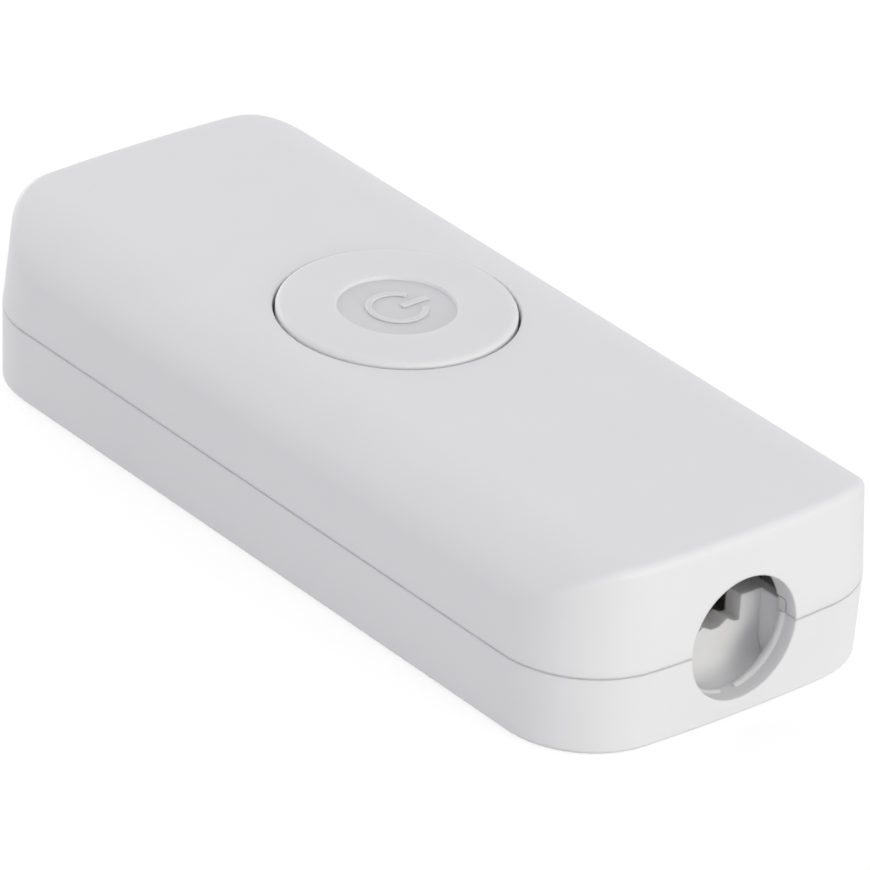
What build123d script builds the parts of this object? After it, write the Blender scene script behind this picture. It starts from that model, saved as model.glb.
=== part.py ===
"""Inline cord dimmer: a moulded two-part housing that sits in a lamp cord, with one round push button.

The frame: the origin lies at the middle of the base, +X points to the end whose cord mouth shows first,
+Y across the housing and +Z up through the button. All sizes are in millimetres.
"""

import os
from math import cos, hypot, radians, sin, sqrt, tan

from build123d import *

# How far a cutting tool runs past the surface that it cuts
overrun = 1.0

# Housing, outside
length = 88.0
width = 38.2
height = 17.9
parting_height = 7.75
corner_radius = 9.5
end_bow_radius = 170.0
draft_angle = 4.0
end_taper = 0.1
side_taper = 0.5
flat_margin = 0.35
roll_height = 4.7
shoulder_radius = 3.6
shoulder_break = 3.0
crease_radius = 0.8
crease_fade = 1.4
base_edge_radius = 0.4

# Housing, walls and the joint between the two shells
wall = 2.4
roof = 2.4
floor = 1.8
lip_thickness = 0.9
lip_height = 1.3
lip_clearance = 0.12
shadow_gap = 0.15
shadow_depth = 0.25

# Cord mouths and cord saddles
mouth_radius = 5.9
mouth_bevel = 0.15
ridge_inset = 0.45
ridge_width = 0.8
ridge_height = 0.2
ridge_arc = 82.0
saddle_setback = 3.0
saddle_thickness = 2.0
cheek_gap = 0.6
cheek_thickness = 1.0
saddle_rise = 0.45
saddle_notch = 8.4
saddle_depth = 2.5
saddle_root = 2.0
tooth_height = 0.55
tooth_count = 3
tooth_share = 2 / 3
press_rib_width = 5.0
press_rib_drop = 4.6

# Housing screws, driven from below at the four corners
boss_gap_x = 1.1
boss_gap_y = 1.7
screw_radius = 1.2
screw_length = 11.0
screw_head_radius = 2.3
screw_head_height = 1.7
screw_recess = 3.4
screw_slot = 0.6
slot_length_share = 1.3
slot_depth_share = 0.6
head_edge_share = 1 / 3
boss_radius = 3.1
thread_clearance = 0.05
head_clearance = 0.4
pilot_spare = 0.6

# Push button
button_x = -4.6
button_hole_radius = 11.15
button_gap = 0.25
button_proud = 0.4
button_edge = 0.5
button_crown = 1.6
button_skirt = 1.2
button_travel = 0.6
button_dish_radius = 5.5
button_dish_depth = 0.35
button_dish_taper = 20.0
hole_rim_radius = 0.15
collar_thickness = 1.3
collar_drop = 1.5
flange_reach = 1.1
flange_thickness = 0.8
flange_clearance = 0.2
stem_radius = 2.4
spoke_thickness = 1.0
spoke_height = 2.0

# Circuit board and what carries it
board_end_gap = 3.6
board_side_gap = 0.7
board_thickness = 1.6
board_standoff = 2.8
board_corner = 2.0
post_inset = 4.0
post_radius = 2.4
board_screw_radius = 1.0
board_screw_length = 4.0
board_screw_head_radius = 2.0
board_screw_head_height = 1.4
hole_clearance = 0.15
locating_pin_radius = 1.2
locating_pin_rise = 1.0

# Leads that pass through the board
lead_radius = 0.35
lead_below = 1.0

# Tactile switch under the button
switch_side = 6.0
switch_height = 3.5
switch_cover_thickness = 0.3
plunger_radius = 1.75
plunger_rise = 1.2
plunger_clearance = 0.1
plunger_flange_radius = 2.1
plunger_flange_thickness = 0.4

# Screw terminals at each end of the board
terminal_poles = 2
terminal_pitch = 5.0
terminal_depth = 8.0
terminal_height = 8.6
terminal_wall = 0.7
cage_length = 5.4
cage_height = 4.6
cage_wall = 0.5
cage_clearance = 0.1
terminal_screw_radius = 1.1
terminal_screw_length = 2.4
terminal_screw_head_radius = 1.5
terminal_screw_head_height = 1.2

# Power and control pieces, each with its place on the board
film_capacitor_size = (13.0, 6.0, 7.6)
film_capacitor_place = (16.0, -11.5)
film_capacitor_pitch = 10.0
film_capacitor_edge = 0.6
storage_radius = 4.0
storage_length = 11.5
storage_place = (17.0, 10.6)
storage_lead_pitch = 3.5
storage_lead_root = 0.5
storage_lead_reach = 1.5
storage_lead_bend = 0.8
storage_groove_start = 1.2
storage_groove_depth = 0.3
storage_groove_flat = 0.4
choke_radius = 4.6
choke_height = 7.2
choke_flange = 1.0
choke_core_radius = 2.2
choke_place = (15.5, -0.6)
winding_radius = 4.2
winding_clearance = 0.05
fuse_radius = 4.2
fuse_height = 7.4
fuse_place = (-20.2, 8.6)
fuse_pitch = 5.08
fuse_edge = 0.5
varistor_radius = 3.9
varistor_thickness = 3.8
varistor_place = (-20.4, -9.0)
varistor_pitch = 5.0
varistor_rise = 0.3
varistor_edge = 1.25
transistor_size = (6.6, 6.1, 2.3)
transistor_tab = (5.2, 1.6, 0.5)
transistor_lead = (0.8, 2.2, 0.5)
transistor_lead_pitch = 4.4
transistor_pitch = 11.0
transistor_place = (-4.6, 9.8)
spreader_size = (22.0, 7.0, 1.0)
spreader_fold = 3.2
bridge_size = (8.4, 6.4, 3.2)
bridge_place = (4.6, -10.4)
bridge_pitch = (5.1, 7.6)
bridge_edge = 0.4
bridge_lead_root = 0.5
bridge_lead_rise = 1.2
bridge_lead_thickness = 0.4
chip_size = (8.7, 3.9, 1.5)
chip_place = (-8.0, -9.4)
chip_leads_per_side = 7
chip_lead_pitch = 1.27
chip_lead_size = (0.4, 1.1, 0.25)
chip_edge = 0.25
resistor_size = (3.2, 1.6, 0.6)
resistor_rows = 3
resistor_columns = 2
resistor_pitch = (4.6, 3.2)
resistor_place = (5.6, 0.0)

# Worked out from the sizes above
half_length = length / 2
half_width = width / 2
cavity_top = height - roof
roll_start = height - roll_height
board_bottom = floor + board_standoff
board_top = board_bottom + board_thickness
screw_x = half_length - wall - boss_gap_x - boss_radius
screw_y = half_width - wall - boss_gap_y - boss_radius
roll_width = half_width - button_hole_radius - flat_margin
inner_end = half_length - wall
saddle_x = inner_end - saddle_setback - saddle_thickness / 2
saddle_top = parting_height + saddle_rise
cheek_inner = mouth_radius + cheek_gap
cheek_outer = cheek_inner + cheek_thickness
saddle_floor = saddle_top - saddle_depth
board_length = 2 * (saddle_x - saddle_thickness / 2 - board_end_gap)
board_width = 2 * (half_width - wall - board_side_gap)
post_x = board_length / 2 - post_inset
post_y = board_width / 2 - post_inset
button_radius = button_hole_radius - button_gap
button_top = height + button_proud
collar_bottom = cavity_top - collar_drop
flange_top = collar_bottom - flange_clearance
switch_top = board_top + switch_height
plunger_top = switch_top + plunger_rise
cover_bottom = switch_top - switch_cover_thickness
plunger_bottom = cover_bottom - plunger_clearance - plunger_flange_thickness
lead_bottom = board_bottom - lead_below
terminal_outer = board_length / 2
terminal_inner = terminal_outer - terminal_depth
terminal_width = terminal_poles * terminal_pitch
cage_side = terminal_pitch - 2 * terminal_wall - 2 * cage_clearance
cage_bottom = board_top + terminal_wall
cage_top = cage_bottom + cage_height
cage_x = terminal_outer - cage_length / 2 - terminal_wall
ends = (1, -1)
corners = [(x * screw_x, y * screw_y) for x in ends for y in ends]
screw_posts = [(post_x, -post_y), (-post_x, post_y)]
pin_posts = [(post_x, post_y), (-post_x, -post_y)]
poles = [(i - (terminal_poles - 1) / 2) * terminal_pitch for i in range(terminal_poles)]


def pair(place, pitch, across=False):
    """Two lead positions a pitch apart, centred on a place."""
    x, y = place
    if across:
        return [(x, y - pitch / 2), (x, y + pitch / 2)]
    return [(x - pitch / 2, y), (x + pitch / 2, y)]


film_leads = pair(film_capacitor_place, film_capacitor_pitch)
storage_end = storage_place[0] - storage_length / 2
storage_leads = pair((storage_end - storage_lead_reach, storage_place[1]), storage_lead_pitch, across=True)
choke_leads = pair(choke_place, 2 * choke_core_radius)
fuse_leads = pair(fuse_place, fuse_pitch, across=True)
varistor_leads = pair(varistor_place, varistor_pitch, across=True)
bridge_leads = [
    (bridge_place[0] + x * bridge_pitch[0] / 2, bridge_place[1] + y * bridge_pitch[1] / 2)
    for x in ends for y in ends
]
cage_pins = [(end * cage_x, y) for end in ends for y in poles]
lead_holes = film_leads + storage_leads + choke_leads + fuse_leads + varistor_leads
lead_holes += bridge_leads + cage_pins

os.makedirs("parts", exist_ok=True)


def write(piece, name):
    """Label a finished piece and write it to its own file."""
    piece.part.label = name
    export_step(piece.part, f"parts/{name}.step")


def planform(plane, inset, corner, side_inset=None):
    """The housing's outline from above: straight sides, round corners and gently bowed ends."""
    end = half_length - inset
    side = half_width - (inset if side_inset is None else side_inset)
    bow = end_bow_radius - inset
    corner_y = side - corner
    corner_x = end - bow + sqrt((bow - corner) ** 2 - corner_y ** 2)
    reach = bow / (bow - corner)
    end_x = end - bow + (corner_x - end + bow) * reach
    end_y = corner_y * reach
    with BuildSketch(plane) as outline:
        with BuildLine():
            for s in ends:
                Line((-s * corner_x, s * side), (s * corner_x, s * side))
                TangentArc((s * corner_x, s * side), (s * end_x, s * end_y), tangent=(s, 0))
                ThreePointArc((s * end_x, s * end_y), (s * end, 0), (s * end_x, -s * end_y))
                TangentArc((s * corner_x, -s * side), (s * end_x, -s * end_y), tangent=(s, 0))
        make_face()
    return outline.sketch


def rolled_section(inset, top):
    """The upper shell's cross-section: drafted sides, then two arcs that roll over to the flat top."""
    draft = radians(draft_angle)
    start_y = half_width - inset - (roll_start - parting_height) * tan(draft)
    foot_y = start_y + roll_start * tan(draft)
    flat_y = half_width - roll_width
    turn = radians(draft_angle + shoulder_break)
    small = shoulder_radius - inset
    small_y = start_y - small * cos(turn)
    small_z = roll_start - small * sin(turn)
    rise = top - small_z
    large = ((flat_y - small_y) ** 2 + rise ** 2 - small ** 2) / (2 * (rise - small))
    large_z = top - large
    apart = hypot(small_y - flat_y, small_z - large_z)
    lean_y = (small_y - flat_y) / apart
    lean_z = (small_z - large_z) / apart
    join_y = flat_y + large * lean_y
    join_z = large_z + large * lean_z
    with BuildSketch(Plane.YZ.offset(-length)) as section:
        with BuildLine():
            Line((-foot_y, 0), (foot_y, 0))
            Line((-flat_y, top), (flat_y, top))
            for s in ends:
                Line((s * foot_y, 0), (s * start_y, roll_start))
                TangentArc(
                    (s * start_y, roll_start), (s * join_y, join_z), tangent=(-s * sin(turn), cos(turn))
                )
                TangentArc((s * join_y, join_z), (s * flat_y, top), tangent=(-s * lean_z, lean_y))
        make_face()
    return section.sketch


def drafted(inset, top):
    """The upper shell's form, drawn in by the inset and closed at a given height."""
    narrowing = (top - parting_height) * tan(radians(draft_angle))
    corner = corner_radius - inset
    with BuildPart() as form:
        add(planform(Plane.XY.offset(parting_height), inset, corner))
        add(planform(Plane.XY.offset(top), inset + narrowing, corner - narrowing))
        loft(ruled=True)
        extrude(rolled_section(inset, top), amount=2 * length, mode=Mode.INTERSECT)
    return form.part


def slab(inset, bottom, top):
    """A block with the housing's outline, drawn in by the inset."""
    with BuildPart() as solid:
        extrude(planform(Plane.XY.offset(bottom), inset, corner_radius - inset), amount=top - bottom)
    return solid.part


def rim(outer_inset, inner_inset, bottom, top):
    """A band that follows the housing's outline between two insets."""
    with BuildPart() as band:
        add(slab(outer_inset, bottom, top))
        add(slab(inner_inset, bottom, top), mode=Mode.SUBTRACT)
    return band.part


def column(x, y, radius, bottom, top):
    """An upright round bar."""
    with BuildPart() as bar:
        with BuildSketch(Plane.XY.offset(bottom)):
            with Locations((x, y)):
                Circle(radius)
        extrude(amount=top - bottom)
    return bar.part


def block(x_range, y_range, z_range):
    """An upright block between three pairs of limits."""
    with BuildPart() as solid:
        with BuildSketch(Plane.XY.offset(z_range[0])):
            with Locations(((x_range[0] + x_range[1]) / 2, (y_range[0] + y_range[1]) / 2)):
                Rectangle(x_range[1] - x_range[0], y_range[1] - y_range[0])
        extrude(amount=z_range[1] - z_range[0])
    return solid.part


def leads(points, bottom, top):
    """Round wires that stand up from the board, one at each point."""
    with BuildPart() as wires:
        with BuildSketch(Plane.XY.offset(bottom)):
            with Locations(*points):
                Circle(lead_radius)
        extrude(amount=top - bottom)
    return wires.part


# The cord mouths: one round tool through both end walls, bevelled at the outside
with BuildPart() as mouths:
    with BuildSketch(Plane.XZ):
        with BuildLine():
            Polyline(
                (inner_end - overrun, parting_height),
                (inner_end - overrun, parting_height + mouth_radius),
                (half_length - mouth_bevel, parting_height + mouth_radius),
                (half_length + overrun, parting_height + mouth_radius + mouth_bevel + overrun),
                (half_length + overrun, parting_height),
                close=True,
            )
        make_face()
    revolve(axis=Axis((0, 0, parting_height), (1, 0, 0)))
    mirror(about=Plane.YZ)

# Low rounded ridges in the lower half of each mouth, one on each side, which bed into the cord's sheath
with BuildPart() as mouth_ridges:
    ridge_middle = inner_end + ridge_inset
    with BuildSketch(Plane.XY.offset(parting_height)):
        with BuildLine():
            foot = -mouth_radius - ridge_height
            Polyline(
                (ridge_middle - ridge_width / 2, -mouth_radius),
                (ridge_middle - ridge_width / 2, foot),
                (ridge_middle + ridge_width / 2, foot),
                (ridge_middle + ridge_width / 2, -mouth_radius),
            )
            ThreePointArc(
                (ridge_middle + ridge_width / 2, -mouth_radius),
                (ridge_middle, -mouth_radius + ridge_height),
                (ridge_middle - ridge_width / 2, -mouth_radius),
            )
        make_face()
    revolve(axis=Axis((0, 0, parting_height), (1, 0, 0)), revolution_arc=ridge_arc)
    mirror(about=Plane.XZ)
    mirror(about=Plane.YZ)

# The upper shell's crown: its crease with the end walls is rounded down to where the rolled edges are steep
crown_floor = roll_start + crease_fade
with BuildPart() as crown:
    add(drafted(0, height))
    split(bisect_by=Plane.XY.offset(crown_floor), keep=Keep.TOP)
    fillet(crown.faces().sort_by(Axis.Z)[-1].edges().filter_by(GeomType.CIRCLE), radius=crease_radius)

# Upper shell: rolled long edges, drafted walls, a guide collar for the button and four screw bosses
with BuildPart() as upper_shell:
    add(drafted(0, height))
    split(bisect_by=Plane.XY.offset(crown_floor), keep=Keep.BOTTOM)
    add(crown.part)
    add(drafted(wall, cavity_top), mode=Mode.SUBTRACT)
    rebate_inset = wall - lip_thickness - lip_clearance
    add(slab(rebate_inset, parting_height, parting_height + lip_height + lip_clearance), mode=Mode.SUBTRACT)
    add(column(button_x, 0, button_hole_radius + collar_thickness, collar_bottom, cavity_top))
    for x, y in corners:
        add(column(x, y, boss_radius, parting_height, cavity_top))
    for end in ends:
        rib_x = sorted((end * (saddle_x - saddle_thickness / 2), end * (saddle_x + saddle_thickness / 2)))
        rib_y = (-press_rib_width / 2, press_rib_width / 2)
        add(block(rib_x, rib_y, (cavity_top - press_rib_drop, cavity_top)))
    for x, y in corners:
        pilot = screw_radius + thread_clearance
        pilot_top = screw_recess + screw_length + pilot_spare
        add(column(x, y, pilot, parting_height, pilot_top), mode=Mode.SUBTRACT)
    add(column(button_x, 0, button_hole_radius, collar_bottom, height + overrun), mode=Mode.SUBTRACT)
    top_circles = upper_shell.edges().filter_by(GeomType.CIRCLE).group_by(Axis.Z)[-1]
    fillet(top_circles.sort_by_distance((button_x, 0, height))[0], radius=hole_rim_radius)
    add(mouths.part, mode=Mode.SUBTRACT)
write(upper_shell, "upper_shell")

# Lower shell: tapered tray with a raised lip, cord saddles between cheeks, screw columns and board posts
with BuildPart() as lower_outside:
    edge = base_edge_radius
    foot_corner = corner_radius - side_taper
    add(planform(Plane.XY, end_taper + edge, foot_corner - edge, side_taper + edge))
    add(planform(Plane.XY.offset(edge), end_taper, foot_corner, side_taper))
    add(planform(Plane.XY.offset(parting_height), 0, corner_radius))
    loft(ruled=True)

with BuildPart() as lower_shell:
    add(lower_outside.part)
    add(slab(wall, floor, parting_height), mode=Mode.SUBTRACT)
    add(rim(wall - lip_thickness, wall, parting_height - overrun, parting_height + lip_height))
    add(rim(-overrun, shadow_depth, parting_height - shadow_gap, parting_height), mode=Mode.SUBTRACT)
    for x, y in corners:
        add(column(x, y, boss_radius, floor, parting_height))
    for x, y in screw_posts + pin_posts:
        add(column(x, y, post_radius, floor, board_bottom))
    for x, y in pin_posts:
        add(column(x, y, locating_pin_radius, board_bottom, board_top + locating_pin_rise))
    for end in ends:
        saddle = sorted((end * (saddle_x - saddle_thickness / 2), end * (saddle_x + saddle_thickness / 2)))
        notch = (-saddle_notch / 2, saddle_notch / 2)
        add(block(saddle, (-cheek_outer, cheek_outer), (floor, saddle_top)))
        for side in ends:
            cheek_x = sorted((end * saddle_x, end * (inner_end + shadow_depth)))
            cheek_y = sorted((side * cheek_inner, side * cheek_outer))
            add(block(cheek_x, cheek_y, (floor, saddle_top)))
        root_x = end * (saddle_x + saddle_thickness / 2 + saddle_root / 2)
        with BuildSketch(Plane.XZ.offset(-cheek_inner)) as root:
            with Locations((root_x, floor + saddle_root / 2)):
                Rectangle(saddle_root, saddle_root)
            with Locations((root_x + end * saddle_root / 2, floor + saddle_root)):
                Circle(saddle_root, mode=Mode.SUBTRACT)
        extrude(root.sketch, amount=2 * cheek_inner)
        add(block(saddle, notch, (saddle_floor, saddle_top)), mode=Mode.SUBTRACT)
        tooth_pitch = saddle_notch / tooth_count
        with BuildSketch(Plane.YZ.offset(saddle[0])) as teeth:
            for i in range(tooth_count):
                middle = -saddle_notch / 2 + (i + 0.5) * tooth_pitch
                with BuildLine():
                    Polyline(
                        (middle - tooth_pitch * tooth_share / 2, saddle_floor),
                        (middle, saddle_floor + tooth_height),
                        (middle + tooth_pitch * tooth_share / 2, saddle_floor),
                        close=True,
                    )
                make_face()
        extrude(teeth.sketch, amount=saddle_thickness)
    for x, y in corners:
        add(column(x, y, screw_head_radius + head_clearance, 0, screw_recess), mode=Mode.SUBTRACT)
        add(column(x, y, screw_radius + head_clearance, 0, parting_height), mode=Mode.SUBTRACT)
    for x, y in screw_posts:
        pilot = board_screw_radius + thread_clearance
        add(column(x, y, pilot, floor, board_bottom), mode=Mode.SUBTRACT)
    add(mouths.part, mode=Mode.SUBTRACT)
    add(mouth_ridges.part)
write(lower_shell, "lower_shell")


def cross_head_screw(x, y, seat, up, radius, reach, head_radius, head_height):
    """A pan-head screw with a cross slot, its head's underside on the seat."""
    with BuildPart() as screw:
        with BuildSketch(Plane.XY.offset(seat)):
            with Locations((x, y)):
                Circle(radius)
        extrude(amount=up * reach)
        with BuildSketch(Plane.XY.offset(seat)):
            with Locations((x, y)):
                Circle(head_radius)
        extrude(amount=-up * head_height)
        head_end = screw.faces().sort_by(Axis.Z)[0 if up > 0 else -1]
        fillet(head_end.edges(), radius=head_height * head_edge_share)
        with BuildSketch(Plane.XY.offset(seat - up * head_height)):
            with Locations((x, y)):
                Rectangle(head_radius * slot_length_share, screw_slot)
                Rectangle(screw_slot, head_radius * slot_length_share)
        extrude(amount=up * head_height * slot_depth_share, mode=Mode.SUBTRACT)
    return screw.part


# Housing screws: four, up through the lower shell into the bosses of the upper shell
with BuildPart() as housing_screws:
    for x, y in corners:
        add(cross_head_screw(
            x, y, screw_recess, 1, screw_radius, screw_length, screw_head_radius, screw_head_height,
        ))
write(housing_screws, "housing_screws")

# Push button: a domed-edge cap with a shallow dish, a guide skirt, a retaining flange and a stem
with BuildPart() as push_button:
    with BuildSketch(Plane.XZ):
        with BuildLine():
            skirt_inner = button_radius - button_skirt
            flange_outer = button_hole_radius + flange_reach
            Polyline(
                (0, button_top),
                (button_radius, button_top),
                (button_radius, flange_top),
                (flange_outer, flange_top),
                (flange_outer, flange_top - flange_thickness),
                (skirt_inner, flange_top - flange_thickness),
                (skirt_inner, button_top - button_crown),
                (stem_radius, button_top - button_crown),
                (stem_radius, plunger_top),
                (0, plunger_top),
                close=True,
            )
        make_face()
    revolve(axis=Axis.Z)
    cap_edge = push_button.edges().filter_by(GeomType.CIRCLE).sort_by(Axis.Z)[-1]
    fillet(cap_edge, radius=button_edge)
    with BuildSketch(Plane.XY.offset(button_top)):
        Circle(button_dish_radius)
    extrude(amount=-button_dish_depth, taper=button_dish_taper, mode=Mode.SUBTRACT)
    with BuildSketch(Plane.XY.offset(button_top - button_crown)):
        Rectangle(2 * skirt_inner, spoke_thickness)
        Rectangle(spoke_thickness, 2 * skirt_inner)
    extrude(amount=-spoke_height)
push_button.part.position = (button_x, 0, 0)
write(push_button, "push_button")

# Circuit board, with a hole for each lead, screw and locating pin
with BuildPart() as circuit_board:
    with BuildSketch(Plane.XY.offset(board_bottom)):
        RectangleRounded(board_length, board_width, board_corner)
        with Locations(*lead_holes):
            Circle(lead_radius + hole_clearance, mode=Mode.SUBTRACT)
        with Locations(*screw_posts):
            Circle(board_screw_radius + hole_clearance, mode=Mode.SUBTRACT)
        with Locations(*pin_posts):
            Circle(locating_pin_radius + hole_clearance, mode=Mode.SUBTRACT)
    extrude(amount=board_thickness)
write(circuit_board, "circuit_board")

with BuildPart() as board_screws:
    for x, y in screw_posts:
        add(cross_head_screw(
            x, y, board_top, -1, board_screw_radius, board_screw_length,
            board_screw_head_radius, board_screw_head_height,
        ))
write(board_screws, "board_screws")

# Tactile switch: a moulded base with a well, a pressed steel cover and the plunger that the button pushes
switch_x = (button_x - switch_side / 2, button_x + switch_side / 2)
switch_y = (-switch_side / 2, switch_side / 2)
with BuildPart() as switch_base:
    add(block(switch_x, switch_y, (board_top, cover_bottom)))
    well_bottom = plunger_bottom - button_travel - plunger_clearance
    well_radius = plunger_flange_radius + plunger_clearance
    add(column(button_x, 0, well_radius, well_bottom, cover_bottom), mode=Mode.SUBTRACT)
write(switch_base, "switch_base")

with BuildPart() as switch_cover:
    add(block(switch_x, switch_y, (cover_bottom, switch_top)))
    add(column(button_x, 0, plunger_radius + plunger_clearance, cover_bottom, switch_top), mode=Mode.SUBTRACT)
write(switch_cover, "switch_cover")

with BuildPart() as switch_plunger:
    add(column(button_x, 0, plunger_radius, plunger_bottom, plunger_top))
    add(column(button_x, 0, plunger_flange_radius, plunger_bottom, plunger_bottom + plunger_flange_thickness))
write(switch_plunger, "switch_plunger")


def terminal_block(end):
    """A two-pole screw terminal whose wire entries face the cord mouth."""
    with BuildPart() as body:
        x_range = sorted((end * terminal_inner, end * terminal_outer))
        half = terminal_width / 2
        add(block(x_range, (-half, half), (board_top, board_top + terminal_height)))
        for y in poles:
            reach = cage_side / 2 + cage_clearance
            pocket_inner = cage_x - cage_length / 2 - cage_clearance
            pocket_x = sorted((end * pocket_inner, end * (terminal_outer + overrun)))
            pocket_top = cage_top + cage_clearance
            add(block(pocket_x, (y - reach, y + reach), (cage_bottom, pocket_top)), mode=Mode.SUBTRACT)
            access = terminal_screw_head_radius + cage_clearance
            add(column(end * cage_x, y, access, cage_top, board_top + terminal_height), mode=Mode.SUBTRACT)
            pin_hole = lead_radius + hole_clearance
            add(column(end * cage_x, y, pin_hole, board_top, cage_bottom), mode=Mode.SUBTRACT)
    return body


write(terminal_block(1), "terminal_block_front")
write(terminal_block(-1), "terminal_block_rear")

# Wire cages: square brass sleeves, one for each pole, each with its solder pin
with BuildPart() as wire_cages:
    for end in ends:
        for y in poles:
            x_range = (end * cage_x - cage_length / 2, end * cage_x + cage_length / 2)
            y_range = (y - cage_side / 2, y + cage_side / 2)
            add(block(x_range, y_range, (cage_bottom, cage_top)))
            inside = (y_range[0] + cage_wall, y_range[1] - cage_wall)
            add(block(x_range, inside, (cage_bottom + cage_wall, cage_top - cage_wall)), mode=Mode.SUBTRACT)
            add(column(end * cage_x, y, lead_radius, lead_bottom, cage_bottom))
            tapped = terminal_screw_radius + thread_clearance
            add(column(end * cage_x, y, tapped, cage_top - cage_wall, cage_top), mode=Mode.SUBTRACT)
write(wire_cages, "wire_cages")

with BuildPart() as terminal_screws:
    for end in ends:
        for y in poles:
            add(cross_head_screw(
                end * cage_x, y, cage_top, -1, terminal_screw_radius, terminal_screw_length,
                terminal_screw_head_radius, terminal_screw_head_height,
            ))
write(terminal_screws, "terminal_screws")


def boxed(place, size, bottom=board_top):
    """A rectangular piece that stands centred on its place."""
    x, y = place
    across, along, tall = size
    return block((x - across / 2, x + across / 2), (y - along / 2, y + along / 2), (bottom, bottom + tall))


with BuildPart() as film_capacitor:
    add(boxed(film_capacitor_place, film_capacitor_size))
    fillet(film_capacitor.edges().filter_by(Axis.Z), radius=film_capacitor_edge)
    add(leads(film_leads, lead_bottom, board_top))
write(film_capacitor, "film_capacitor")

# Storage capacitor: a can that lies on the board, with a rolled groove and two bent leads
with BuildPart() as storage_capacitor:
    with BuildSketch(Plane.XY.offset(board_top + storage_radius)):
        with BuildLine():
            middle = storage_place[1]
            far_end = storage_end + storage_length
            outer = middle + storage_radius
            groove = storage_end + storage_groove_start
            flat = groove + storage_groove_depth
            Polyline(
                (storage_end, middle),
                (storage_end, outer),
                (groove, outer),
                (flat, outer - storage_groove_depth),
                (flat + storage_groove_flat, outer - storage_groove_depth),
                (flat + storage_groove_flat + storage_groove_depth, outer),
                (far_end, outer),
                (far_end, middle),
                close=True,
            )
        make_face()
    revolve(axis=Axis((0, storage_place[1], board_top + storage_radius), (1, 0, 0)))
    for x, y in storage_leads:
        with BuildLine() as lead_path:
            FilletPolyline(
                (storage_end + storage_lead_root, y, board_top + storage_radius),
                (x, y, board_top + storage_radius),
                (x, y, lead_bottom),
                radius=storage_lead_bend,
            )
        with BuildSketch(Plane(lead_path.line @ 0, z_dir=lead_path.line % 0)):
            Circle(lead_radius)
        sweep(path=lead_path.line)
write(storage_capacitor, "storage_capacitor")

# Choke: a ferrite drum with its winding between the flanges
with BuildPart() as choke_core:
    x, y = choke_place
    add(column(x, y, choke_core_radius, board_top, board_top + choke_height))
    add(column(x, y, choke_radius, board_top, board_top + choke_flange))
    add(column(x, y, choke_radius, board_top + choke_height - choke_flange, board_top + choke_height))
    add(leads(choke_leads, lead_bottom, board_top))
write(choke_core, "choke_core")

with BuildPart() as choke_winding:
    x, y = choke_place
    low = board_top + choke_flange
    high = board_top + choke_height - choke_flange
    add(column(x, y, winding_radius, low, high))
    add(column(x, y, choke_core_radius + winding_clearance, low, high), mode=Mode.SUBTRACT)
write(choke_winding, "choke_winding")

with BuildPart() as fuse:
    add(column(*fuse_place, fuse_radius, board_top, board_top + fuse_height))
    fillet(fuse.faces().sort_by(Axis.Z)[-1].edges(), radius=fuse_edge)
    add(leads(fuse_leads, lead_bottom, board_top))
write(fuse, "fuse")

# Varistor: a coated disc that stands on edge on its two leads
with BuildPart() as varistor:
    x, y = varistor_place
    middle = board_top + varistor_radius + varistor_rise
    with BuildSketch(Plane.YZ.offset(x - varistor_thickness / 2)):
        with Locations((y, middle)):
            Circle(varistor_radius)
    extrude(amount=varistor_thickness)
    fillet(varistor.edges(), radius=varistor_edge)
    add(leads(varistor_leads, lead_bottom, middle))
write(varistor, "varistor")

# Power transistors: two flat packages side by side under the heat spreader
transistor_points = pair(transistor_place, transistor_pitch)
with BuildPart() as power_transistors:
    for x, y in transistor_points:
        add(boxed((x, y), transistor_size))
        tab_y = y + transistor_size[1] / 2 + transistor_tab[1] / 2
        add(boxed((x, tab_y), transistor_tab))
        lead_y = y - transistor_size[1] / 2 - transistor_lead[1] / 2
        for side in ends:
            add(boxed((x + side * transistor_lead_pitch / 2, lead_y), transistor_lead))
write(power_transistors, "power_transistors")

with BuildPart() as heat_spreader:
    seat = board_top + transistor_size[2]
    add(boxed(transistor_place, spreader_size, bottom=seat))
    x, y = transistor_place
    fold_y = y - spreader_size[1] / 2
    fold = (fold_y, fold_y + spreader_size[2])
    add(block((x - spreader_size[0] / 2, x + spreader_size[0] / 2), fold, (seat, seat + spreader_fold)))
write(heat_spreader, "heat_spreader")

with BuildPart() as bridge_rectifier:
    add(boxed(bridge_place, bridge_size))
    x, y = bridge_place
    chamfer(bridge_rectifier.faces().sort_by(Axis.Z)[-1].edges(), length=bridge_edge)
    lead_low = board_top + bridge_lead_rise
    lead_high = lead_low + bridge_lead_thickness
    for px, py in bridge_leads:
        side = 1 if py > y else -1
        lead_y = sorted((y + side * (bridge_size[1] / 2 - bridge_lead_root), py))
        add(block((px - lead_radius, px + lead_radius), lead_y, (lead_low, lead_high)))
    add(leads(bridge_leads, lead_bottom, lead_high))
write(bridge_rectifier, "bridge_rectifier")

with BuildPart() as control_chip:
    add(boxed(chip_place, chip_size))
    chamfer(control_chip.faces().sort_by(Axis.Z)[-1].edges(), length=chip_edge)
    foot_y = chip_size[1] / 2 + chip_lead_size[1] / 2
    for i in range(chip_leads_per_side):
        foot_x = chip_place[0] + (i - (chip_leads_per_side - 1) / 2) * chip_lead_pitch
        for side in ends:
            add(boxed((foot_x, chip_place[1] + side * foot_y), chip_lead_size))
write(control_chip, "control_chip")

with BuildPart() as chip_resistors:
    with BuildSketch(Plane.XY.offset(board_top)):
        with Locations(resistor_place):
            with GridLocations(*resistor_pitch, resistor_columns, resistor_rows):
                Rectangle(resistor_size[0], resistor_size[1])
    extrude(amount=resistor_size[2])
write(chip_resistors, "chip_resistors")
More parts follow.
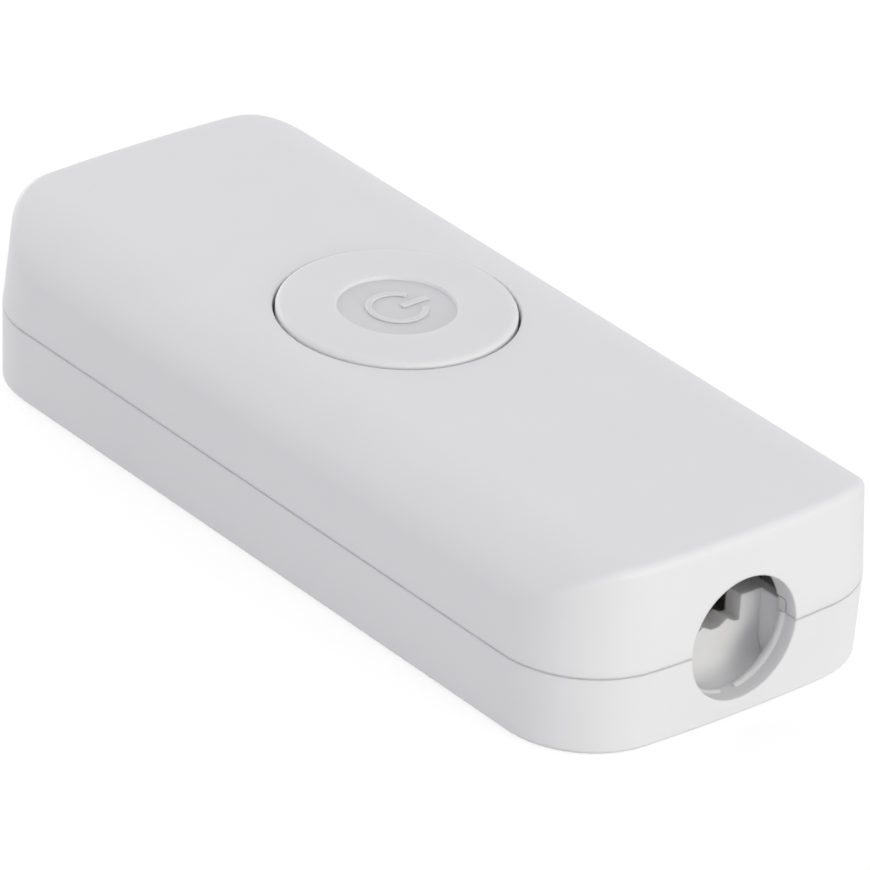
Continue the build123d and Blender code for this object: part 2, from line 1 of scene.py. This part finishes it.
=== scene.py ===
"""Looks for the inline cord dimmer: the camera, the light, the finishes and the raised mark on the button.

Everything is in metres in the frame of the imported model: +X to the front cord mouth, +Y across, +Z up.
"""

from math import cos, pi, radians, sin

import bmesh
import bpy
from mathutils import Matrix, Vector


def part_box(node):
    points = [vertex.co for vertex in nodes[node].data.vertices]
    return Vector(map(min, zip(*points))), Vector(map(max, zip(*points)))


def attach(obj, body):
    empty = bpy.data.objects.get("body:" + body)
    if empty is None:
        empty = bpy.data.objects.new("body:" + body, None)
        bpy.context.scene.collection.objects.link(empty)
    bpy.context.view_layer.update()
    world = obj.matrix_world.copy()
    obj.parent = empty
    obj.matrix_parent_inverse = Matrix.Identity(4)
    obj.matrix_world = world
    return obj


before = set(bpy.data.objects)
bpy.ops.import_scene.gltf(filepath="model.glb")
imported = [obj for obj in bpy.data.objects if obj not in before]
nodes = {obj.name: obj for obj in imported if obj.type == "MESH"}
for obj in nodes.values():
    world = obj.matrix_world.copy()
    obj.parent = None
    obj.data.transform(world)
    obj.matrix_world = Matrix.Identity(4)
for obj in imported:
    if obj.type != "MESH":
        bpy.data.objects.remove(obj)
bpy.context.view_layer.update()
mm = 0.001

# Camera: a long lens above the front left corner, turned a little about its own axis
azimuth = radians(48.858)
elevation = radians(29.116)
roll = radians(3.926)
distance = 720.52 * mm
aim_right = 1.5636 * mm
aim_up = 6.2411 * mm
focal_length = 331.45
sensor_width = 36.0

# Light: an even surround, and a soft box beyond each end of the housing
surround_colour = "#FCFBFF"
surround_strength = 0.716
end_light_colour = "#FFFEF3"
end_light_size = 0.7
front_light_power = 5.7
front_light_place = (1.1, 0.15, 0.1)
rear_light_power = 3.4
rear_light_place = (-1.1, 0.1, 0.2)

# Studio floor: how far it lies under the base, its reach, and how it glows where it is seen directly
floor_drop = 0.05 * mm
floor_reach = 3.0
floor_glow = 0.72

# White polycarbonate: light that enters it comes out a little way off
scatter_share = 0.6
scatter_reach = 0.6 * mm

# Finishes: where most of a noise value lies, and how finely a rounded edge is sampled
noise_low = 0.3
noise_high = 0.7
edge_samples = 6

# The raised mark in the button's dish: an open ring and a bar
dish_depth = 0.35 * mm
# The dish's radius and the spare below its rim also bound the dish floor, which is painted darker as shade
dish_radius = 5.5 * mm
dish_spare = 0.03 * mm
mark_height = 0.2 * mm
mark_line = 0.62 * mm
mark_radius = 2.55 * mm
mark_opening = radians(64)
mark_bar_top = 3.5 * mm
mark_bar_foot = 0.5 * mm
mark_edge = 0.08 * mm
mark_steps = 72
sharp_angle = radians(60)

# Heights and places that the finishes need, as the model has them
board_low, board_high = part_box("circuit_board")
button_low, button_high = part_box("push_button")
button_x = (button_low.x + button_high.x) / 2
lead_seat_rise = 0.02 * mm
lead_seat = board_high.z + lead_seat_rise
rectifier_reach = 3.21 * mm
chip_reach = 1.96 * mm


def middle(node):
    """The middle of a node's box."""
    low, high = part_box(node)
    return (low + high) / 2


def linear(code):
    """The linear colour of an sRGB hex code, with full alpha."""
    parts = [int(code[i:i + 2], 16) / 255 for i in (1, 3, 5)]
    return tuple(c / 12.92 if c <= 0.04045 else ((c + 0.055) / 1.055) ** 2.4 for c in parts) + (1.0,)


def add_node(tree, kind, settings=(), values=(), links=()):
    """Add a node, set its options and its input values, and link other nodes' outputs to its inputs."""
    node = tree.nodes.new("ShaderNode" + kind)
    for name, value in dict(settings).items():
        setattr(node, name, value)
    for name, value in dict(values).items():
        node.inputs[name].default_value = value
    for name, output in dict(links).items():
        tree.links.new(output, node.inputs[name])
    return node


def new_material(name):
    """An empty node material and its tree."""
    material = bpy.data.materials.new(name)
    material.use_nodes = True
    material.node_tree.nodes.clear()
    return material, material.node_tree


def close_material(tree, shader):
    """Send a shader to the material's output."""
    add_node(tree, "OutputMaterial", links={"Surface": shader})


def place_on(tree, stretch=(1, 1, 1)):
    """The object's own coordinates, drawn out along an axis where a number is under one."""
    place = add_node(tree, "TexCoord").outputs["Object"]
    if stretch == (1, 1, 1):
        return place
    return add_node(tree, "Mapping", values={"Scale": stretch}, links={"Vector": place}).outputs["Vector"]


def mottle(tree, size, detail=2.0, stretch=(1, 1, 1)):
    """Even noise with grains about one size across."""
    vector = place_on(tree, stretch)
    noise = add_node(tree, "TexNoise", values={"Scale": 1 / size, "Detail": detail}, links={"Vector": vector})
    return noise.outputs["Fac"]


def spread(tree, value, low, high):
    """Spread a noise value between two numbers."""
    limits = {"From Min": noise_low, "From Max": noise_high, "To Min": low, "To Max": high}
    return add_node(tree, "MapRange", values=limits, links={"Value": value}).outputs["Result"]


def tones(tree, value, dark, light):
    """Vary a colour between two tones of it."""
    colours = {6: linear(dark), 7: linear(light)}
    return add_node(tree, "Mix", {"data_type": "RGBA"}, colours, {0: value}).outputs[2]


def relief(tree, height, depth, edge=0.0):
    """Bump of a real depth, over edges that a small radius softens."""
    links = {"Height": height}
    if edge:
        rounded = add_node(tree, "Bevel", {"samples": edge_samples}, {"Radius": edge})
        links["Normal"] = rounded.outputs["Normal"]
    return add_node(tree, "Bump", values={"Distance": depth}, links=links).outputs["Normal"]


def beyond(tree, axis, centre, reach):
    """One where the surface lies further than the reach from a centre plane, and nought elsewhere."""
    place = add_node(tree, "SeparateXYZ", links={0: place_on(tree)}).outputs[axis]
    away = add_node(tree, "Math", {"operation": "SUBTRACT"}, {1: centre}, {0: place}).outputs[0]
    size = add_node(tree, "Math", {"operation": "ABSOLUTE"}, links={0: away}).outputs[0]
    return add_node(tree, "Math", {"operation": "GREATER_THAN"}, {1: reach}, {0: size}).outputs[0]


def below(tree, height):
    """One where the surface lies below a height, and nought elsewhere."""
    place = add_node(tree, "SeparateXYZ", links={0: place_on(tree)}).outputs["Z"]
    return add_node(tree, "Math", {"operation": "LESS_THAN"}, {1: height}, {0: place}).outputs[0]


def join(tree, share, body, other):
    """Two shaders on one piece, the second where the share is one."""
    return add_node(tree, "MixShader", links={0: share, 1: body, 2: other}).outputs[0]


def tin(tree):
    """Tinned copper leads: a soft white metal, slightly uneven where the solder dip ran."""
    wave = mottle(tree, 0.3 * mm)
    return add_node(
        tree, "BsdfPrincipled", values={"Metallic": 1.0},
        links={
            "Base Color": tones(tree, wave, "#C4C4C0", "#DAD9D4"),
            "Roughness": spread(tree, wave, 0.22, 0.36),
        },
    ).outputs["BSDF"]


def epoxy(tree, dark, light, rough):
    """Transfer-moulded epoxy: dull, faintly granular from its filler."""
    grain = mottle(tree, 0.16 * mm)
    return add_node(
        tree, "BsdfPrincipled", values={"IOR": 1.55},
        links={
            "Base Color": tones(tree, grain, dark, light),
            "Roughness": spread(tree, grain, rough - 0.06, rough + 0.06),
            "Normal": relief(tree, grain, 0.006 * mm),
        },
    ).outputs["BSDF"]


def polycarbonate(tree, colour, grain_size, rough, rise, edge):
    """White polycarbonate: light sinks a little way in, and a fine grain shows in its sheen and relief."""
    grain = mottle(tree, grain_size)
    return add_node(
        tree, "BsdfPrincipled",
        values={
            "IOR": 1.58, "Subsurface Weight": scatter_share,
            "Subsurface Radius": (1, 1, 1), "Subsurface Scale": scatter_reach,
        },
        links={
            "Base Color": colour,
            "Roughness": spread(tree, grain, *rough),
            "Normal": relief(tree, grain, rise, edge=edge),
        },
    ).outputs["BSDF"]


def moulded_polycarbonate():
    """Housing: polycarbonate from a fine spark-eroded tool, with a soft even sheen and no sharp glint."""
    material, tree = new_material("moulded_polycarbonate")
    colour = tones(tree, mottle(tree, 9 * mm), "#EDEDEE", "#F0F0F1")
    close_material(tree, polycarbonate(tree, colour, 0.3 * mm, (0.46, 0.56), 0.0015 * mm, 0.25 * mm))
    return material


def smooth_polycarbonate():
    """Button: the same resin with a shallower grain and crisper edges, and painted shade in its dish: the
    dish floor is coloured darker than the face.
    """
    material, tree = new_material("smooth_polycarbonate")
    cloud = mottle(tree, 7 * mm)
    place = add_node(tree, "SeparateXYZ", links={0: place_on(tree)})
    across = add_node(tree, "Math", {"operation": "SUBTRACT"}, {1: button_x}, {0: place.outputs["X"]})
    flat = add_node(tree, "CombineXYZ", links={"X": across.outputs[0], "Y": place.outputs["Y"]})
    away = add_node(tree, "VectorMath", {"operation": "LENGTH"}, links={0: flat.outputs[0]})
    inside = add_node(tree, "Math", {"operation": "LESS_THAN"}, {1: dish_radius}, {0: away.outputs["Value"]})
    deep = below(tree, button_high.z - dish_depth + dish_spare)
    # Painted shade: inside the dish's radius and below its rim, the dish floor takes a darker colour than the
    # face
    dish = add_node(tree, "Math", {"operation": "MULTIPLY"}, links={0: inside.outputs[0], 1: deep})
    face = tones(tree, cloud, "#EBEBEC", "#EFEFEF")
    floor = tones(tree, cloud, "#E0E0E1", "#E3E3E4")
    colour = add_node(tree, "Mix", {"data_type": "RGBA"}, links={0: dish.outputs[0], 6: face, 7: floor})
    shader = polycarbonate(tree, colour.outputs[2], 0.5 * mm, (0.48, 0.56), 0.001 * mm, 0.1 * mm)
    close_material(tree, shader)
    return material


def zinc_plated_steel():
    """Screws: steel with bright zinc plating, cool grey and clouded where the bath left it uneven."""
    material, tree = new_material("zinc_plated_steel")
    cloud = mottle(tree, 0.8 * mm)
    scratch = mottle(tree, 0.12 * mm, stretch=(1, 1, 0.2))
    shader = add_node(
        tree, "BsdfPrincipled", values={"Metallic": 1.0},
        links={
            "Base Color": tones(tree, cloud, "#B6B8BA", "#D2D3D1"),
            "Roughness": spread(tree, cloud, 0.24, 0.4),
            "Normal": relief(tree, scratch, 0.004 * mm, edge=0.08 * mm),
        },
    )
    close_material(tree, shader.outputs["BSDF"])
    return material


def glass_epoxy_board():
    """Circuit board: green solder mask over copper tracks, and the bare tan laminate on the cut edges."""
    material, tree = new_material("glass_epoxy_board")
    tracks = add_node(
        tree, "TexBrick",
        {"offset": 0.37, "squash": 0.6, "squash_frequency": 3},
        {
            "Color1": linear("#1C5A36"), "Color2": linear("#1A5433"), "Mortar": linear("#2E7C4B"),
            "Scale": 1 / (9 * mm), "Mortar Size": 0.05, "Mortar Smooth": 0.1,
            "Brick Width": 0.9, "Row Height": 0.33,
        },
        {"Vector": place_on(tree)},
    )
    fibre = mottle(tree, 0.25 * mm)
    mask = add_node(
        tree, "BsdfPrincipled", values={"IOR": 1.5, "Roughness": 0.32},
        links={
            "Base Color": tracks.outputs["Color"],
            "Normal": relief(tree, tracks.outputs["Fac"], 0.03 * mm),
        },
    ).outputs["BSDF"]
    laminate = add_node(
        tree, "BsdfPrincipled", values={"IOR": 1.5, "Roughness": 0.7},
        links={"Base Color": tones(tree, fibre, "#A89A5E", "#C2B57C")},
    ).outputs["BSDF"]
    lie = add_node(tree, "SeparateXYZ", links={0: add_node(tree, "NewGeometry").outputs["True Normal"]})
    flat = add_node(tree, "Math", {"operation": "ABSOLUTE"}, links={0: lie.outputs["Z"]})
    steep = 0.5
    cut = add_node(tree, "Math", {"operation": "LESS_THAN"}, {1: steep}, {0: flat.outputs[0]})
    close_material(tree, join(tree, cut.outputs[0], mask, laminate))
    return material


def black_epoxy_with_leads(name, node, reach):
    """A black moulded package along X whose tinned leads stand out to the sides along Y."""
    material, tree = new_material(name)
    share = beyond(tree, "Y", middle(node).y, reach)
    close_material(tree, join(tree, share, epoxy(tree, "#161617", "#222223", 0.55), tin(tree)))
    return material


def transistor_epoxy():
    """Power transistors: black packages whose tinned tab and legs lie outside the moulding."""
    material, tree = new_material("transistor_epoxy")
    low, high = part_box("power_transistors")
    tab_depth = 1.6 * mm
    leg_length = 2.2 * mm
    spare = 0.01 * mm
    centre = (low.y + leg_length + high.y - tab_depth) / 2
    reach = (high.y - tab_depth - low.y - leg_length) / 2 + spare
    share = beyond(tree, "Y", centre, reach)
    close_material(tree, join(tree, share, epoxy(tree, "#151516", "#202022", 0.5), tin(tree)))
    return material


def polyamide_black():
    """Switch base: black glass-filled polyamide, matt with faint pale flecks of glass."""
    material, tree = new_material("glass_filled_polyamide")
    close_material(tree, epoxy(tree, "#1B1B1C", "#2B2B2C", 0.48))
    return material


def stamped_steel():
    """Switch cover: tinned steel sheet with a fine rolling grain along X."""
    material, tree = new_material("stamped_tinned_steel")
    grain = mottle(tree, 0.1 * mm, stretch=(0.08, 1, 1))
    shader = add_node(
        tree, "BsdfPrincipled", values={"Metallic": 1.0, "Anisotropic": 0.4},
        links={
            "Base Color": tones(tree, grain, "#B9B9B8", "#CECECC"),
            "Roughness": spread(tree, grain, 0.28, 0.4),
        },
    )
    close_material(tree, shader.outputs["BSDF"])
    return material


def natural_acetal():
    """Switch plunger: natural acetal, a warm white that light sinks into."""
    material, tree = new_material("natural_acetal")
    grain = mottle(tree, 0.4 * mm)
    shader = add_node(
        tree, "BsdfPrincipled", values={"IOR": 1.48, "Subsurface Weight": 0.2, "Subsurface Scale": 0.5 * mm},
        links={
            "Base Color": tones(tree, grain, "#DCD7C8", "#E6E1D3"),
            "Roughness": spread(tree, grain, 0.34, 0.42),
        },
    )
    close_material(tree, shader.outputs["BSDF"])
    return material


def grey_polyamide():
    """Terminal blocks: grey polyamide, a satin moulding with a faint flow pattern."""
    material, tree = new_material("grey_polyamide")
    flow = mottle(tree, 1.6 * mm, stretch=(0.4, 1, 1))
    grain = mottle(tree, 0.2 * mm)
    shader = add_node(
        tree, "BsdfPrincipled", values={"IOR": 1.53},
        links={
            "Base Color": tones(tree, flow, "#A2A3A5", "#ACADAF"),
            "Roughness": spread(tree, grain, 0.42, 0.54),
            "Normal": relief(tree, grain, 0.003 * mm, edge=0.15 * mm),
        },
    )
    close_material(tree, shader.outputs["BSDF"])
    return material


def stamped_brass():
    """Wire cages: stamped brass, warm and slightly tarnished in the folds, on tinned solder pins."""
    material, tree = new_material("stamped_brass")
    cloud = mottle(tree, 1.2 * mm)
    brass = add_node(
        tree, "BsdfPrincipled", values={"Metallic": 1.0},
        links={
            "Base Color": tones(tree, cloud, "#B08D4C", "#D6B56E"),
            "Roughness": spread(tree, cloud, 0.22, 0.38),
            "Normal": relief(tree, mottle(tree, 0.1 * mm), 0.002 * mm),
        },
    ).outputs["BSDF"]
    close_material(tree, join(tree, below(tree, lead_seat), brass, tin(tree)))
    return material


def polyester_capacitor_case():
    """Film capacitor: a glossy yellow moulded box on tinned leads."""
    material, tree = new_material("capacitor_box")
    cloud = mottle(tree, 2.5 * mm)
    case = add_node(
        tree, "BsdfPrincipled", values={"IOR": 1.5},
        links={
            "Base Color": tones(tree, cloud, "#CDAA36", "#DBB943"),
            "Roughness": spread(tree, cloud, 0.2, 0.3),
            "Normal": relief(tree, mottle(tree, 0.5 * mm), 0.004 * mm),
        },
    ).outputs["BSDF"]
    close_material(tree, join(tree, below(tree, lead_seat), case, tin(tree)))
    return material


def sleeved_can():
    """Storage capacitor: a shrunk blue-black sleeve with a pale stripe, a bare end and tinned leads."""
    material, tree = new_material("sleeved_aluminium_can")
    low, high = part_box("storage_capacitor")
    radius = (high.y - low.y) / 2
    centre = (low.y + high.y) / 2
    lead_bend = 1.85 * mm
    end_skin = 0.05 * mm
    stripe_start = 0.93
    wrinkle = mottle(tree, 1.1 * mm, stretch=(1, 0.4, 0.4))
    sleeve = add_node(
        tree, "BsdfPrincipled", values={"IOR": 1.53},
        links={
            "Base Color": tones(tree, wrinkle, "#1B2140", "#232B4E"),
            "Roughness": spread(tree, wrinkle, 0.26, 0.38),
            "Normal": relief(tree, wrinkle, 0.02 * mm),
        },
    ).outputs["BSDF"]
    stripe = add_node(
        tree, "BsdfPrincipled", values={"IOR": 1.53, "Roughness": 0.35},
        links={"Base Color": tones(tree, wrinkle, "#AEB4C0", "#BCC2CC")},
    ).outputs["BSDF"]
    aluminium = add_node(
        tree, "BsdfPrincipled", values={"Metallic": 1.0},
        links={
            "Base Color": tones(tree, mottle(tree, 0.2 * mm), "#C2C4C6", "#D4D5D7"),
            "Roughness": spread(tree, mottle(tree, 0.4 * mm), 0.28, 0.4),
        },
    ).outputs["BSDF"]
    place = add_node(tree, "SeparateXYZ", links={0: place_on(tree)})
    along = {0: place.outputs["X"]}
    beside = {0: place.outputs["Y"]}
    side = add_node(tree, "Math", {"operation": "LESS_THAN"}, {1: centre - stripe_start * radius}, beside)
    end = add_node(tree, "Math", {"operation": "GREATER_THAN"}, {1: high.x - end_skin}, along)
    lead = add_node(tree, "Math", {"operation": "LESS_THAN"}, {1: low.x + lead_bend}, along)
    dressed = join(tree, side.outputs[0], sleeve, stripe)
    capped = join(tree, end.outputs[0], dressed, aluminium)
    close_material(tree, join(tree, lead.outputs[0], capped, tin(tree)))
    return material


def sintered_ferrite():
    """Choke core: dark grey ferrite, dull and pitted from pressing, on tinned leads."""
    material, tree = new_material("sintered_ferrite")
    pits = mottle(tree, 0.35 * mm, detail=4.0)
    ferrite = add_node(
        tree, "BsdfPrincipled", values={"IOR": 2.2},
        links={
            "Base Color": tones(tree, pits, "#2A2A2B", "#3A3A3B"),
            "Roughness": spread(tree, pits, 0.55, 0.72),
            "Normal": relief(tree, pits, 0.02 * mm),
        },
    ).outputs["BSDF"]
    close_material(tree, join(tree, below(tree, lead_seat), ferrite, tin(tree)))
    return material


def enamelled_copper():
    """Choke winding: enamelled copper wire laid in close turns, drawn as ridges one wire apart, with painted
    shade in the grooves between turns and a painted highlight on their crests.
    """
    material, tree = new_material("enamelled_copper_wire")
    wire = 0.5 * mm
    bands_per_unit = 0.314
    turns = add_node(
        tree, "TexWave", {"wave_type": "BANDS", "bands_direction": "Z", "wave_profile": "SIN"},
        {"Scale": bands_per_unit / wire}, {"Vector": place_on(tree)},
    ).outputs["Fac"]
    shader = add_node(
        tree, "BsdfPrincipled", values={"Metallic": 1.0, "Coat Weight": 0.6, "Coat Roughness": 0.15},
        links={
            # Painted shade and highlight: the colour follows the ridges, darker in each groove between turns
            # and lighter on each crest
            "Base Color": tones(tree, turns, "#7A3A1C", "#B4602F"),
            "Roughness": spread(tree, mottle(tree, 0.6 * mm), 0.22, 0.34),
            "Normal": relief(tree, turns, 0.12 * mm),
        },
    )
    close_material(tree, shader.outputs["BSDF"])
    return material


def fuse_case():
    """Fuse: a small black moulded case on tinned leads."""
    material, tree = new_material("moulded_fuse_case")
    close_material(
        tree, join(tree, below(tree, lead_seat), epoxy(tree, "#1D1D1E", "#29292A", 0.4), tin(tree))
    )
    return material


def dipped_coating():
    """Varistor: blue epoxy powder, dipped and baked, glossy with a slight orange peel, on tinned leads."""
    material, tree = new_material("dipped_epoxy_coating")
    peel = mottle(tree, 0.7 * mm)
    coating = add_node(
        tree, "BsdfPrincipled", values={"IOR": 1.55},
        links={
            "Base Color": tones(tree, peel, "#1F4A8C", "#2A5A9E"),
            "Roughness": spread(tree, peel, 0.18, 0.28),
            "Normal": relief(tree, peel, 0.03 * mm),
        },
    ).outputs["BSDF"]
    close_material(tree, join(tree, below(tree, lead_seat), coating, tin(tree)))
    return material


def cut_aluminium():
    """Heat spreader: rolled aluminium sheet with its grain along X and fine handling marks."""
    material, tree = new_material("rolled_aluminium_sheet")
    grain = mottle(tree, 0.12 * mm, stretch=(0.05, 1, 1))
    marks = mottle(tree, 2.2 * mm)
    shader = add_node(
        tree, "BsdfPrincipled", values={"Metallic": 1.0, "Anisotropic": 0.5},
        links={
            "Base Color": tones(tree, marks, "#C9CACC", "#DADBDD"),
            "Roughness": spread(tree, grain, 0.28, 0.42),
            "Normal": relief(tree, grain, 0.002 * mm, edge=0.06 * mm),
        },
    )
    close_material(tree, shader.outputs["BSDF"])
    return material


def thick_film_resistors():
    """Chip resistors: black glazed bodies with tinned end caps."""
    material, tree = new_material("thick_film_ceramic")
    column_pitch = 4.6 * mm
    body_reach = 1.2 * mm
    centre = middle("chip_resistors").x
    place = add_node(tree, "SeparateXYZ", links={0: place_on(tree)}).outputs["X"]
    moved = add_node(tree, "Math", {"operation": "SUBTRACT"}, {1: centre}, {0: place}).outputs[0]
    column = add_node(tree, "Math", {"operation": "ABSOLUTE"}, links={0: moved}).outputs[0]
    away = add_node(tree, "Math", {"operation": "SUBTRACT"}, {1: column_pitch / 2}, {0: column}).outputs[0]
    size = add_node(tree, "Math", {"operation": "ABSOLUTE"}, links={0: away}).outputs[0]
    cap = add_node(tree, "Math", {"operation": "GREATER_THAN"}, {1: body_reach}, {0: size}).outputs[0]
    close_material(tree, join(tree, cap, epoxy(tree, "#19191B", "#242427", 0.3), tin(tree)))
    return material


def dress_nodes():
    """Give every node of the model its finish."""
    housing = moulded_polycarbonate()
    screws = zinc_plated_steel()
    terminals = grey_polyamide()
    finishes = {
        "upper_shell": housing,
        "lower_shell": housing,
        "push_button": smooth_polycarbonate(),
        "housing_screws": screws,
        "board_screws": screws,
        "terminal_screws": screws,
        "circuit_board": glass_epoxy_board(),
        "switch_base": polyamide_black(),
        "switch_cover": stamped_steel(),
        "switch_plunger": natural_acetal(),
        "terminal_block_front": terminals,
        "terminal_block_rear": terminals,
        "wire_cages": stamped_brass(),
        "film_capacitor": polyester_capacitor_case(),
        "storage_capacitor": sleeved_can(),
        "choke_core": sintered_ferrite(),
        "choke_winding": enamelled_copper(),
        "fuse": fuse_case(),
        "varistor": dipped_coating(),
        "power_transistors": transistor_epoxy(),
        "heat_spreader": cut_aluminium(),
        "bridge_rectifier": black_epoxy_with_leads("rectifier_epoxy", "bridge_rectifier", rectifier_reach),
        "control_chip": black_epoxy_with_leads("chip_epoxy", "control_chip", chip_reach),
        "chip_resistors": thick_film_resistors(),
    }
    for name, material in finishes.items():
        nodes[name].material_slots[0].material = material
    return finishes["push_button"]


def add_piece(name, shape, material):
    """Turn a finished bmesh into an object with one material."""
    bmesh.ops.recalc_face_normals(shape, faces=shape.faces)
    mesh = bpy.data.meshes.new(name)
    shape.to_mesh(mesh)
    shape.free()
    mesh.materials.append(material)
    piece = bpy.data.objects.new(name, mesh)
    bpy.context.scene.collection.objects.link(piece)
    return piece


def soften(shape, edge):
    """Round the sharp edges of a shape."""
    sharp = [e for e in shape.edges if e.calc_face_angle(0) > sharp_angle]
    bmesh.ops.bevel(
        shape, geom=sharp, offset=edge, segments=3, profile=0.5, affect="EDGES", material=-1,
    )


def button_mark(material):
    """The standby sign in the button's dish: an open ring and a bar, moulded as a low relief."""
    floor = button_high.z - dish_depth
    shape = bmesh.new()
    start = pi / 2 + mark_opening / 2
    across = Vector((cos(start), sin(start), 0))
    ends = [shape.verts.new(across * (mark_radius + s * mark_line / 2)) for s in (-1, 1)]
    line = shape.edges.new(ends)
    bmesh.ops.spin(
        shape, geom=[*ends, line], cent=(0, 0, 0), axis=(0, 0, 1),
        angle=2 * pi - mark_opening, steps=mark_steps,
    )
    bar = [
        shape.verts.new((x * mark_line / 2, y, 0))
        for x, y in ((-1, mark_bar_foot), (1, mark_bar_foot), (1, mark_bar_top), (-1, mark_bar_top))
    ]
    shape.faces.new(bar)
    bmesh.ops.recalc_face_normals(shape, faces=shape.faces)
    raised = bmesh.ops.extrude_face_region(shape, geom=shape.faces[:], use_keep_orig=True)
    top = [v for v in raised["geom"] if isinstance(v, bmesh.types.BMVert)]
    bmesh.ops.translate(shape, verts=top, vec=(0, 0, mark_height))
    bmesh.ops.recalc_face_normals(shape, faces=shape.faces)
    soften(shape, mark_edge)
    bmesh.ops.translate(shape, verts=shape.verts, vec=(button_x, 0, floor))
    piece = add_piece("button_mark", shape, material)
    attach(piece, "button")


def build_camera():
    """The photograph's camera, from its angles, distance and aim."""
    back = Vector((sin(azimuth) * cos(elevation), -cos(azimuth) * cos(elevation), sin(elevation)))
    level = Vector((cos(azimuth), sin(azimuth), 0))
    rise = back.cross(level)
    right = level * cos(roll) + rise * sin(roll)
    up = rise * cos(roll) - level * sin(roll)
    place = back * distance + right * aim_right + up * aim_up
    data = bpy.data.cameras.new("photo_camera")
    data.lens = focal_length
    data.sensor_width = sensor_width
    data.clip_start = 0.01
    data.clip_end = 20
    camera = bpy.data.objects.new("photo_camera", data)
    camera.matrix_world = Matrix.Translation(place) @ Matrix((right, up, back)).transposed().to_4x4()
    bpy.context.scene.collection.objects.link(camera)
    bpy.context.scene.camera = camera


def soft_box(name, place, power):
    """A square studio light that faces the object."""
    data = bpy.data.lights.new(name, "AREA")
    data.shape = "SQUARE"
    data.size = end_light_size
    data.energy = power
    data.color = linear(end_light_colour)[:3]
    lamp = bpy.data.objects.new(name, data)
    turn = Vector(place).to_track_quat("Z", "Y").to_matrix().to_4x4()
    lamp.matrix_world = Matrix.Translation(place) @ turn
    bpy.context.scene.collection.objects.link(lamp)


def seen_directly(tree):
    """One for the rays that show the background itself: the camera's, through glass or off a sheen."""
    rays = add_node(tree, "LightPath")
    through = add_node(
        tree, "Math", {"operation": "MAXIMUM"},
        links={0: rays.outputs["Is Camera Ray"], 1: rays.outputs["Is Transmission Ray"]},
    )
    both = add_node(
        tree, "Math", {"operation": "MAXIMUM"},
        links={0: through.outputs[0], 1: rays.outputs["Is Glossy Ray"]},
    )
    return both.outputs[0]


def build_light():
    """Plain soft studio light."""
    soft_box("front_light", front_light_place, front_light_power)
    soft_box("rear_light", rear_light_place, rear_light_power)
    world = bpy.data.worlds.new("studio")
    world.use_nodes = True
    tree = world.node_tree
    tree.nodes.clear()
    even = {"Color": linear(surround_colour), "Strength": surround_strength}
    surround = add_node(tree, "Background", values=even)
    backdrop = add_node(tree, "Background", values={"Color": linear("#FFFFFF"), "Strength": 1.0})
    both = join(tree, seen_directly(tree), surround.outputs[0], backdrop.outputs[0])
    add_node(tree, "OutputWorld", links={"Surface": both})
    bpy.context.scene.world = world


def build_floor():
    """A plain pale floor that looks white where nothing shades it and keeps the object's soft shadow."""
    shape = bmesh.new()
    bmesh.ops.create_grid(shape, x_segments=1, y_segments=1, size=floor_reach)
    bmesh.ops.translate(shape, verts=shape.verts, vec=(0, 0, -floor_drop))
    material, tree = new_material("matt_studio_floor")
    matt = add_node(tree, "BsdfDiffuse", values={"Color": linear("#ECECEC")}).outputs[0]
    dim = add_node(tree, "BsdfDiffuse", values={"Color": linear("#A8A8A8")}).outputs[0]
    glow = add_node(tree, "Emission", values={"Color": linear("#FFFFFF"), "Strength": floor_glow}).outputs[0]
    bright = add_node(tree, "AddShader", links={0: dim, 1: glow}).outputs[0]
    close_material(tree, join(tree, seen_directly(tree), matt, bright))
    add_piece("floor", shape, material)


build_camera()
build_light()
build_floor()
button_mark(dress_nodes())
bpy.context.scene.view_settings.view_transform = "Standard"
